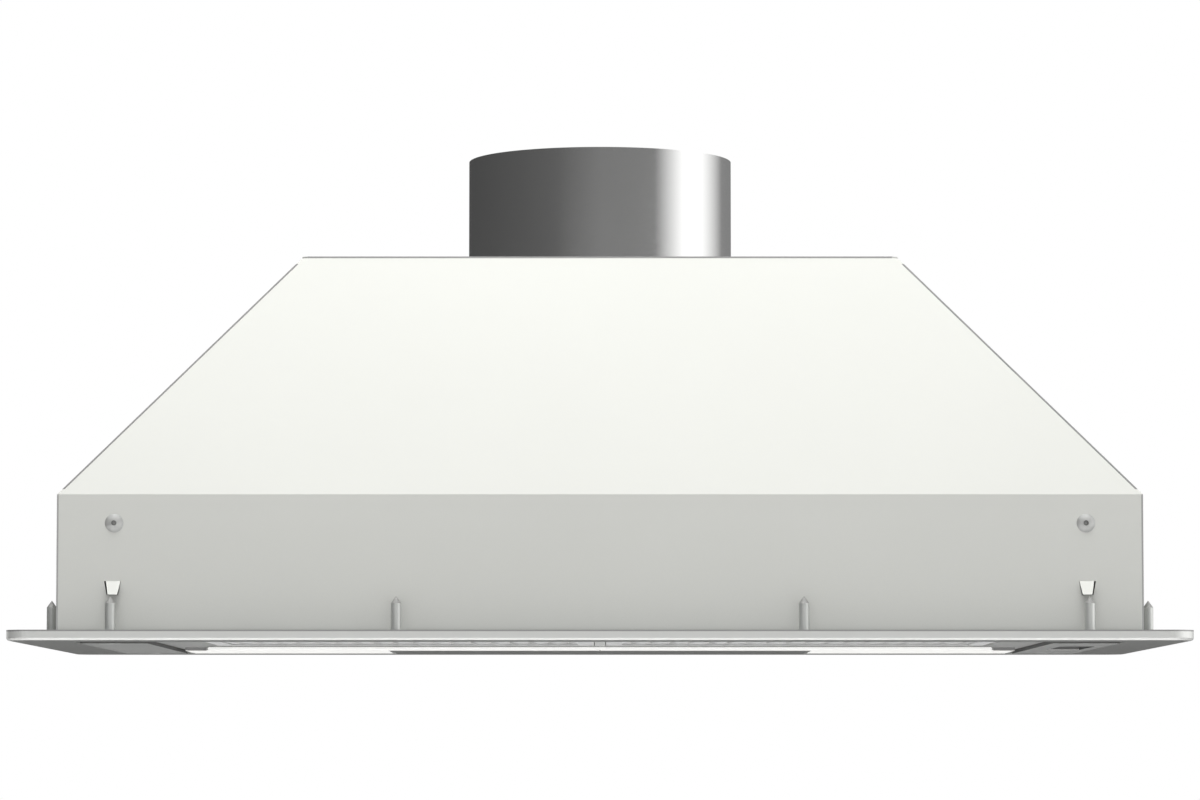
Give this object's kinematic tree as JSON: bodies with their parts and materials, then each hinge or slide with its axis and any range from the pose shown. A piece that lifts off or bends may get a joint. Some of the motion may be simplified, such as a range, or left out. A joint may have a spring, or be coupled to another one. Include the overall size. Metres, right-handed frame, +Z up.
{
  "type": "built-in range hood",
  "caption": "Insert range hood: flanged steel pan, sloped canopy, round duct collar with damper, blower, hinged mesh filters, lamps and rocker switches.",
  "frame": {"origin": "middle of the bottom pan's underside", "axes": "+Z up towards the duct collar, +Y to the rear, +X to the right seen from the front"},
  "size_m": [0.635, 0.366, 0.278],
  "materials": {
    "satin_steel": "satin",
    "polished_steel": "polished",
    "zinc_plate": "zinc plated",
    "galvanised": "galvanised",
    "rivet_steel": "satin",
    "filter_aluminium": "satin",
    "mesh_pad": "open pressed mesh",
    "motor_paint": "satin",
    "laminations": "raw",
    "shaft_steel": "ground",
    "bearing_bronze": "sintered",
    "fan_plastic": "matte",
    "black_plastic": "matte",
    "white_plastic": "gloss",
    "grey_plastic": "matte",
    "lens_white": "frosted",
    "reflector_bright": "bright",
    "bulb_glass": "clear",
    "spring_steel": "spring",
    "lead_rubber": "matte"
  },
  "bodies": {
    "hood": {"bottom_pan": "satin_steel", "mounting_frame": "galvanised", "flange_screws": "zinc_plate", "front_panel": "satin_steel", "rear_panel": "satin_steel", "left_side_panel": "satin_steel", "right_side_panel": "satin_steel", "top_plate": "satin_steel", "corner_brackets": "galvanised", "body_rivets": "rivet_steel", "duct_collar": "polished_steel", "collar_ring": "polished_steel", "collar_screws": "zinc_plate", "damper_pin": "shaft_steel", "blower_casing_left": "galvanised", "blower_casing_right": "galvanised", "motor_stator": "laminations", "motor_case": "motor_paint", "motor_end_bell": "motor_paint", "motor_bearings": "bearing_bronze", "motor_bracket": "zinc_plate", "motor_capacitor": "grey_plastic", "junction_box": "galvanised", "junction_box_lid": "galvanised", "terminal_block": "white_plastic", "cable_gland": "black_plastic", "motor_lead": "lead_rubber", "switch_lead": "lead_rubber", "lamp_leads": "lead_rubber", "filter_hinge_brackets": "zinc_plate", "left_cover_panel": "satin_steel", "control_panel": "satin_steel", "cover_screws": "zinc_plate", "wiring_cover": "satin_steel", "switch_housing": "black_plastic", "left_filter_keeper": "spring_steel", "left_lamp_lens": "lens_white", "left_lamp_reflector": "reflector_bright", "left_lamp_socket": "white_plastic", "left_lamp_bulb": "bulb_glass", "right_filter_keeper": "spring_steel", "right_lamp_lens": "lens_white", "right_lamp_reflector": "reflector_bright", "right_lamp_socket": "white_plastic", "right_lamp_bulb": "bulb_glass"},
    "impeller": {"impeller": "fan_plastic", "motor_shaft": "shaft_steel", "motor_rotor": "laminations"},
    "damper_front": {"damper_flap_front": "galvanised"},
    "damper_rear": {"damper_flap_rear": "galvanised"},
    "left_filter": {"left_filter_frame": "filter_aluminium", "left_filter_net": "filter_aluminium", "left_filter_pad": "mesh_pad"},
    "right_filter": {"right_filter_frame": "filter_aluminium", "right_filter_net": "filter_aluminium", "right_filter_pad": "mesh_pad"},
    "left_latch": {"left_filter_latch": "black_plastic"},
    "right_latch": {"right_filter_latch": "black_plastic"},
    "fan_switch": {"fan_rocker": "white_plastic"},
    "light_switch": {"light_rocker": "white_plastic"}
  },
  "joints": [
    {"name": "impeller_spin", "type": "hinge", "parent": "hood", "child": "impeller", "pos_m": [0, 0.051, 0.108], "axis": [1, 0, 0], "continuous": true},
    {"name": "damper_front_swing", "type": "hinge", "parent": "hood", "child": "damper_front", "pos_m": [0, 0, 0.226], "axis": [-1, 0, 0], "range_deg": [0, 78]},
    {"name": "damper_rear_swing", "type": "hinge", "parent": "hood", "child": "damper_rear", "pos_m": [0, 0, 0.226], "axis": [1, 0, 0], "range_deg": [0, 78]},
    {"name": "left_filter_swing", "type": "hinge", "parent": "hood", "child": "left_filter", "pos_m": [-0.1125, 0.043, 0.0065], "axis": [1, 0, 0], "range_deg": [0, 75], "deforming": ["left_filter_keeper"]},
    {"name": "left_latch_slide", "type": "slide", "parent": "left_filter", "child": "left_latch", "axis": [0, 1, 0], "range_m": [0, 0.0045], "stiffness_N_per_m": 200, "springref_m": -0.003},
    {"name": "right_filter_swing", "type": "hinge", "parent": "hood", "child": "right_filter", "pos_m": [0.1125, 0.043, 0.0065], "axis": [1, 0, 0], "range_deg": [0, 75], "deforming": ["right_filter_keeper"]},
    {"name": "right_latch_slide", "type": "slide", "parent": "right_filter", "child": "right_latch", "axis": [0, 1, 0], "range_m": [0, 0.0045], "stiffness_N_per_m": 200, "springref_m": -0.003},
    {"name": "fan_switch_rock", "type": "hinge", "parent": "hood", "child": "fan_switch", "pos_m": [0.26825, -0.01675, 0.007], "axis": [1, 0, 0], "range_deg": [0, 10]},
    {"name": "light_switch_rock", "type": "hinge", "parent": "hood", "child": "light_switch", "pos_m": [0.26825, 0.02975, 0.007], "axis": [1, 0, 0], "range_deg": [0, 10]}
  ]
}
